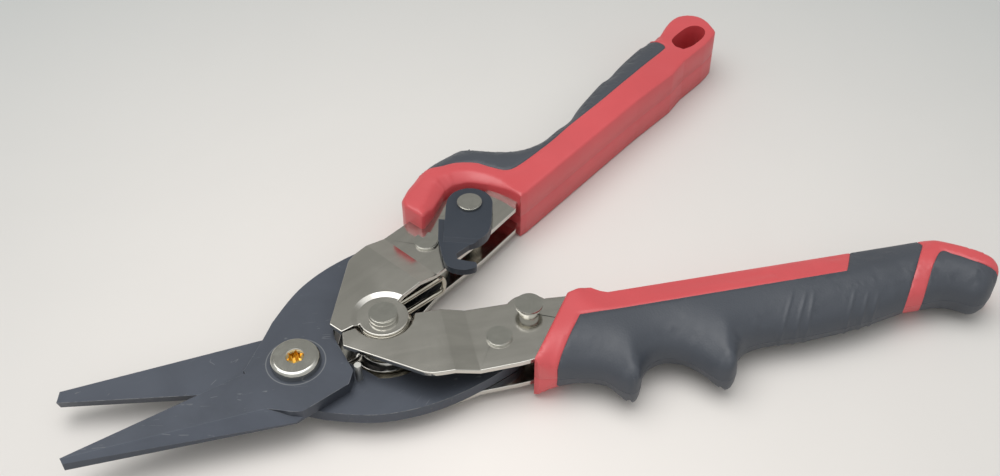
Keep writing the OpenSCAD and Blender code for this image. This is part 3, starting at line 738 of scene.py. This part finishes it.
def addPiece(spec, piece, points, polys):
    used = sorted(set(i for poly in polys for i in poly))
    index = {old: new for new, old in enumerate(used)}
    placed = toWorld(points[used], spec["upper"])
    order = 1 if spec["upper"] else -1
    polys = [tuple(index[i] for i in poly[::order]) for poly in polys]
    mesh = bpy.data.meshes.new(piece["name"])
    mesh.from_pydata([tuple(p) for p in placed], [], polys)
    mesh.validate()
    mesh.shade_smooth()
    mesh.set_sharp_from_angle(angle=math.radians(spec["crisp"]))
    mesh.materials.append(finishes[piece["finish"]])
    obj = bpy.data.objects.new(piece["name"], mesh)
    bpy.context.scene.collection.objects.link(obj)
    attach(obj, piece["body"])
    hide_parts(piece["node"])
    print(piece["name"], len(mesh.vertices), "points")


def mouldGrip(spec):
    loop = closedLoop(spec["outline"], meshing["outlineStep"])
    if ((np.roll(loop[:, 0], -1) - loop[:, 0]) * (np.roll(loop[:, 1], -1) + loop[:, 1])).sum() > 0:
        loop = loop[::-1]
    seams = [seamLine(seam) for seam in spec["seams"]]
    holes = [closedLoop([(kind, bare(points)) for kind, points in hole], meshing["seamStep"]) for hole in spec["holes"]]
    verts, faces, centres = plan(loop, seams, holes, spec["fineZones"], spec["gap"])
    drop = edgeDrop(verts, loop)
    onLoop = nearest(verts, loop, True) < 1e-3
    height = relax(spec["half"] - drop, faces, onLoop | (drop > spec["steep"]), spec["ease"])
    off = np.min([nearest(verts, seam) for seam in seams], axis=0)
    push = spec["relief"](verts) - skin["seamDepth"] * np.clip(1 - off / skin["seamReach"], 0, 1)
    front = pushedSkin(verts, faces, height * (1 + spec["rise"](verts) / spec["half"]), push)
    back = pushedSkin(verts, faces, height, push) * np.array([1, 1, -1])
    rows = wallRows(verts, loop, onLoop, front, back)
    label = spec["region"](centres)
    for number, piece in enumerate(spec["pieces"]):
        addPiece(spec, piece, np.concatenate(rows), closedPolys(faces[label == number], len(rows), len(verts)))


def over(line, points):
    # the points on the outward side of a seam
    ends = [(line[-1, 0], beyond), (line[0, 0], beyond)]
    return inside(points, np.concatenate([line[:, :2], ends]))


def nowhere(p):
    return np.zeros(len(p))


gripHalf = 8.4
beyond = 60  # further out than any grip
gripMesh = {"half": gripHalf, "gap": 1.1, "ease": 4, "steep": 3, "crisp": 52}

upperGrip = {
    **gripMesh, "upper": True, "archRise": 2.1, "archTop": 45, "archFoot": 63,
    "outline": [
        ("straight", [(58.4, 3.2, 0.6, 0.5, 1), (60.8, 2.9, 0.8, 0.7, 1), (117.6, 5.6, 0.8, 0.7, 1),
                      (137, 5.9, 0.6, 0.5, 1), (145.4, 7.4, 0.6, 0.5, 1)]),
        ("smooth", [(158, 7.8, 0.6, 0.5, 1), (165.5, 9.2, 0.6, 0.5, 1), (168.4, 12.6, 0.7, 0.6, 1),
                    (170.3, 16.8, 1.2, 1, 1), (170, 20.8, 1.1, 0.9, 1), (166.8, 24.4, 1.1, 0.9, 1),
                    (162.8, 25.3, 1.2, 1, 1), (158.6, 24.8, 1.4, 1.2, 1), (152.7, 23.2, 2, 2, 1)]),
        ("smooth", [(149.7, 25.3, 6, 5.5, 1), (145.3, 26.4, 8, 7, 1), (138, 26.2, 9, 7.6, 1), (131, 25.4, 9, 8, 1),
                    (124.4, 24.1, 8.4, 8, 1), (120.4, 24.3, 9, 8, 1), (114, 23.2, 9, 8, 1), (106, 21.4, 8.6, 8, 1),
                    (97.7, 18.8, 6.8, 8, 1), (92, 18.8, 6.5, 8, 1), (84, 18.6, 7, 8, 1), (76.4, 21.6, 8, 8, 1),
                    (71, 27.4, 8, 8, 1), (67.4, 32.4, 8, 8, 1), (64, 34.6, 7, 8, 1), (57, 35, 6, 8, 1),
                    (48, 33.8, 5, 7, 1), (38.4, 30, 3, 3.4, 1), (33, 26.8, 1.4, 1.4, 1), (31.3, 23.8, 1, 0.8, 1)]),
        ("straight", [(31.3, 22.6, 0.9, 0.8, 1), (31.5, 17.2, 0.8, 0.7, 1), (32.4, 16.9, 1, 0.8, 1)]),
        ("smooth", [(36.9, 18.1, 2.4, 1.8, 0.2), (41.9, 20.1, 3, 2.2, 0.2), (45.8, 21.6, 3.2, 2.4, 0.2),
                    (49.6, 21.5, 3.2, 2.4, 0.2), (53.6, 19.4, 3, 2.3, 0.2), (56.2, 15.4, 2.6, 2, 0.2),
                    (57.6, 11.4, 2, 1.4, 0.3), (58.3, 7, 0.8, 0.7, 1)]),
    ],
    "seams": [("smooth", [(40.5, 40), (42.5, 33.6), (44.6, 31.4), (47.6, 30.6), (51, 28.8), (56, 27.2), (60.4, 23.4),
                          (62.2, 18.6), (64.4, 14.2), (69, 12.9), (81, 13.1), (96, 14.4), (110, 14.7), (122, 15.4),
                          (135, 16.1), (145.4, 16.5), (147.6, 17.3), (148.3, 20), (148.6, 32)])],
    "holes": [[("smooth", [(150.4, 11.5), (154.6, 10.4), (161, 10.8), (164.5, 12.8), (165.1, 15.8), (162.6, 18.1),
                           (157, 18.4), (152, 17.6), (149.9, 14.6)])]],
    "fineZones": [],
    "pieces": [
        {"name": "upperGripBody", "finish": "red", "body": "upper_handle",
         "node": "upper_grip_body", "slot": "red_plastic"},
        {"name": "upperGripInsert", "finish": "soft", "body": "upper_handle",
         "node": "upper_grip_insert", "slot": "soft_black"},
    ],
}


def upperRegion(points):
    return over(seamLine(upperGrip["seams"][0]), points).astype(int)


def upperRise(p):
    # the arch stands up over the frame and runs down to the barrel
    t = np.clip((upperGrip["archFoot"] - p[:, 0]) / (upperGrip["archFoot"] - upperGrip["archTop"]), 0, 1)
    return upperGrip["archRise"] * t * t * (3 - 2 * t)


ribs = {
    "lines": [np.array(ends) for ends in (
        [(97.4, 33.3), (108.6, 16.5)], [(101, 34.1), (112, 17.4)], [(105, 34), (114, 17.9)],
        [(116, 33.4), (125.4, 19.3)], [(120, 33.3), (129, 20.2)], [(123.2, 32.9), (131.8, 20.8)])],
    "height": 0.3,
    "width": 0.4,
    "end": 1.02,  # shares of a rib's length: where it ends, and over which it fades out
    "fade": 0.18,
}
lowerGrip = {
    **gripMesh, "upper": False,
    "outline": [
        ("straight", [(35.4, 23.6, 1.2, 1.2, 1), (49.4, 3.5, 1.2, 1, 1), (52.7, 2.6, 1.2, 1, 1), (56, 3, 1.2, 1, 1),
                      (58.5, 4.1, 5, 1.8, 0.4), (60.5, 4.4, 8.5, 2.4, 0.15), (129.8, 5.2, 8, 2.4, 0.15)]),
        ("smooth", [(150.9, 5.4, 5, 2.4, 0.4), (155.7, 6.9, 2.5, 2, 1), (162.5, 11.5, 2, 1.8, 1),
                    (166.1, 14.9, 2, 1.8, 1), (167.9, 17.8, 2.4, 2.2, 1), (168, 20.4, 4, 4, 1), (165.6, 23.4, 6, 7, 1),
                    (161.8, 26.2, 7, 8.2, 1), (158, 26.4, 8, 8.2, 1), (154.4, 23.8, 8, 8.2, 1),
                    (150.8, 22.6, 9, 8.2, 1)]),
        ("smooth", [(141, 22.8, 11, 8.3, 1), (133, 24.4, 12, 8.3, 1), (124, 25.8, 13, 8.3, 1), (112, 26.6, 13, 8.3, 1),
                    (101, 26.2, 13, 8.3, 1), (94, 26.6, 10, 8.3, 1), (90, 28.6, 5, 8.3, 1), (87.8, 31.8, 3.2, 8.3, 1),
                    (86.4, 34.8, 3.2, 8.3, 1), (83.8, 36.2, 5, 8.3, 1), (81, 34.8, 9, 8.3, 1), (78.4, 31, 14, 8.3, 1),
                    (74.8, 27.2, 15, 8.3, 1), (70.4, 25.6, 13, 8.3, 1), (66.2, 26.4, 9, 8.3, 1),
                    (63.4, 28.8, 5, 8.3, 1), (62, 31.4, 3.2, 8.3, 1), (60.6, 33.8, 3.2, 8.3, 1),
                    (58.2, 34.7, 5, 8.3, 1), (55.6, 32.8, 9, 8.3, 1), (52.8, 29.2, 14, 8.3, 1), (47.6, 27, 13, 8.3, 1),
                    (41.6, 26, 9, 8, 1), (38.4, 25.4, 5, 5.5, 1), (36.3, 24.9, 2, 2.4, 1)]),
    ],
    "seams": [
        ("straight", [(41, 40), (41, 25.6), (50.4, 12.4), (125.6, 13.2), (133.2, 1)]),
        ("straight", [(151.2, 1), (150.6, 8.2), (138.4, 25), (138, 32)]),
        ("smooth", [(143, 34), (143.6, 25.4), (153, 12.8), (157, 14), (161.6, 18), (165, 20.4), (172, 22.6)]),
    ],
    "holes": [],
    "fineZones": [{"low": (94, 13), "high": (132, 28), "gap": 0.4, "reach": 1.5, "lines": ribs["lines"]}],
    "pieces": [
        {"name": "lowerGripBody", "finish": "red", "body": "lower_handle",
         "node": "lower_grip_body", "slot": "red_plastic"},
        {"name": "lowerGripCover", "finish": "soft", "body": "lower_handle",
         "node": "lower_grip_cover", "slot": "soft_black"},
        {"name": "lowerEndPad", "finish": "soft", "body": "lower_handle",
         "node": "lower_end_pad", "slot": "soft_black"},
    ],
}


def lowerRegion(points):
    frontSeam, rearSeam, padSeam = lowerGrip["seams"]
    out = np.zeros(len(points), int)
    out[over(np.array(frontSeam[1] + rearSeam[1]), points)] = 1
    out[over(seamLine(padSeam), points)] = 2
    return out


def lowerRelief(p):
    out = np.zeros(len(p))
    for a, b in ribs["lines"]:
        ab = b - a
        t = ((p - a) @ ab) / (ab @ ab)
        off = np.abs((p - a)[:, 0] * ab[1] - (p - a)[:, 1] * ab[0]) / np.linalg.norm(ab)
        fade = np.clip((ribs["end"] - t) / ribs["fade"], 0, 1)
        out = np.maximum(out, ribs["height"] * np.exp(-(off / ribs["width"]) ** 2) * fade)
    return out


upperGrip.update(region=upperRegion, rise=upperRise, relief=nowhere)
lowerGrip.update(region=lowerRegion, rise=nowhere, relief=lowerRelief)
for grip in (upperGrip, lowerGrip):
    mouldGrip(grip)
print("grips moulded")

# ---- opening spring ----

spring = {
    "coil": 7.3, "wire": 0.83, "pitch": 1.7, "turns": 2, "sides": 14,
    "bend": ((6.9, 3.1), (9.6, 2.75)),  # in a handle's own axes, where a leg turns away from the coil
    "legEnd": (22.4, 1.35),
    "leave": 40,  # degrees round the coil from the handle's line
    "bow": 1.3,  # how far the upper leg's round end stands out
    "legSteps": 10, "bendSteps": 6, "coilSteps": 96, "bowSteps": 12,
}


def bent(a, b, c, steps):
    return [a * (1 - t) ** 2 + b * (2 * t * (1 - t)) + c * t * t for t in (k / steps for k in range(1, steps + 1))]


def springHalf(s, sign):
    # one half of the spring: a lower leg, the turns of the coil going outwards, then an upper leg
    def spot(place, z, upper):
        return Vector((*turned(*place, upper), z * sign))

    def onCoil(angle, z):
        return Vector((s["coil"] * math.cos(angle), s["coil"] * math.sin(angle), z * sign))

    inner, outer = s["pitch"] / 2, s["pitch"] * (s["turns"] - 0.5)
    leave = math.radians(s["leave"]) + handleOpen
    near, far = s["bend"]
    lowerEnd, upperEnd = spot(s["legEnd"], inner, False), spot(s["legEnd"], outer, True)
    lowerBend, upperBend = spot(far, inner, False), spot(far, outer, True)
    points = [lowerEnd.lerp(lowerBend, k / s["legSteps"]) for k in range(s["legSteps"] + 1)]
    points += bent(lowerBend, spot(near, inner, False), onCoil(-leave, inner), s["bendSteps"])
    sweep = 2 * leave - 2 * math.pi * s["turns"]
    for k in range(1, s["coilSteps"] + 1):
        done = k / s["coilSteps"]
        points.append(onCoil(-leave + sweep * done, inner + (outer - inner) * done))
    points += bent(points[-1], spot(near, outer, True), upperBend, s["bendSteps"])
    points += [upperBend.lerp(upperEnd, k / s["legSteps"]) for k in range(1, s["legSteps"] + 1)]
    return points


def springPath(s):
    # both halves joined by the round end of the upper leg
    front, back = springHalf(s, 1), springHalf(s, -1)
    top, ahead = front[-1], (front[-1] - front[-2]).normalized()
    loop = []
    for k in range(1, s["bowSteps"]):
        a = math.pi * k / s["bowSteps"]
        loop.append(Vector((top.x, top.y, top.z * math.cos(a))) + ahead * (s["bow"] * math.sin(a)))
    return front + loop + back[::-1]


domeRings = ((0.8, 0.45), (0.45, 0.7))  # a wire end's two last rings: their size and reach, in radii


def tube(name, points, radius, sides):
    # a closed round wire along a path, with domed ends
    verts, faces = [], []
    n = len(points)
    side = (points[1] - points[0]).cross(Vector((0, 0, 1))).normalized()
    for i, p in enumerate(points):
        ahead = (points[min(i + 1, n - 1)] - points[max(i - 1, 0)]).normalized()
        side = (side - ahead * side.dot(ahead)).normalized()
        up = side.cross(ahead).normalized()
        for k in range(sides):
            a = 2 * math.pi * k / sides
            verts.append(p + radius * (math.cos(a) * side + math.sin(a) * up))
    for i in range(n - 1):
        for k in range(sides):
            a, b = i * sides + k, i * sides + (k + 1) % sides
            faces.append((a, b, b + sides, a + sides))
    for last, p, q in ((False, points[0], points[1]), (True, points[-1], points[-2])):
        first = (n - 1) * sides if last else 0
        edge = verts[first:first + sides]
        ring = list(range(first, first + sides))
        way = (p - q).normalized()
        for shrink, out in domeRings:
            base = len(verts)
            verts += [p + (v - p) * shrink + way * radius * out for v in edge]
            for i in range(sides):
                j = (i + 1) % sides
                quad = (ring[i], ring[j], base + j, base + i)
                faces.append(quad if last else quad[::-1])
            ring = list(range(base, base + sides))
        faces.append(tuple(ring) if last else tuple(ring[::-1]))
    mesh = bpy.data.meshes.new(name)
    mesh.from_pydata([tuple(v) for v in verts], [], faces)
    mesh.validate()
    mesh.shade_smooth()
    obj = bpy.data.objects.new(name, mesh)
    bpy.context.scene.collection.objects.link(obj)
    return obj


path = [Vector(pivot) + p * mm for p in springPath(spring)]
coil = tube("openingSpring", path, spring["wire"] * mm, spring["sides"])
coil.data.materials.append(finishes["torsion_spring"])
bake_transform(coil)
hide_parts("torsion_spring")
print("spring wound")

# ---- bench and light ----

# the bench is light in the middle and fades to grey further off: a painted pool of light and its falloff
benchLook = {
    "middle": (0.86, 0.815, 0.775),
    "far": (0.50, 0.51, 0.50),
    "centre": (0.03, -0.045, 0),
    "spread": 0.28,
    "roughness": 0.55,
    "shade": (0.985, 1.01), "shadeScale": 9.0,
}


def benchMaterial(look):
    m, t, s = newMaterial("bench", Roughness=look["roughness"])
    # painted falloff of light: darker and greyer with distance from the centre
    away = addNode(t, "VectorMath", {"operation": "DISTANCE"}, i0=objectPlace(t), i1=look["centre"]).outputs["Value"]
    base = blendColour(t, remap(t, away, 0.0, look["spread"]), look["middle"], look["far"])
    t.links.new(shaded(t, look, base), s.inputs["Base Color"])
    return m


bpy.ops.mesh.primitive_plane_add(size=8, location=(0, 0, 0))
floor = bpy.context.object
floor.name = "bench"
floor.data.materials.append(benchMaterial(benchLook))

lighting = {
    "lamps": [
        {"name": "ceiling", "place": (-0.1, 0.25, 1.1), "size": 1.0, "energy": 5.6, "colour": (1.0, 0.985, 0.97)},
    ],
    "aim": (0.06, 0, 0),
    "sky": {
        "low": (0.55, 0.53, 0.50), "wall": (0.36, 0.36, 0.34), "open": (0.72, 0.73, 0.73), "high": (1.35, 1.35, 1.35),
        "wallWay": (0.5, 0.866, 0), "wallFade": (0.1, 0.5), "lowFade": (0.0, 0.45), "highFade": (0.8, 0.93),
    },
}


def addSky(look):
    world = bpy.data.worlds.new("room")
    bpy.context.scene.world = world
    world.use_nodes = True
    t = world.node_tree
    way = addNode(t, "TexCoord").outputs["Generated"]
    up = addNode(t, "SeparateXYZ", None, Vector=way).outputs["Z"]
    toWall = addNode(t, "VectorMath", {"operation": "DOT_PRODUCT"}, i0=way, i1=look["wallWay"]).outputs["Value"]
    middle = blendColour(t, remap(t, toWall, *look["wallFade"]), look["open"], look["wall"])
    lower = blendColour(t, remap(t, up, *look["lowFade"]), look["low"], middle)
    whole = blendColour(t, remap(t, up, *look["highFade"]), lower, look["high"])
    t.links.new(whole, t.nodes["Background"].inputs["Color"])


addSky(lighting["sky"])
for spec in lighting["lamps"]:
    lamp = bpy.data.lights.new(spec["name"], "AREA")
    lamp.energy, lamp.size, lamp.color = spec["energy"], spec["size"], spec["colour"]
    obj = bpy.data.objects.new(spec["name"], lamp)
    obj.location = spec["place"]
    obj.rotation_euler = (Vector(lighting["aim"]) - obj.location).to_track_quat("-Z", "Y").to_euler()
    bpy.context.scene.collection.objects.link(obj)
print("bench and light")

bpy.context.scene.view_settings.view_transform = "Standard"
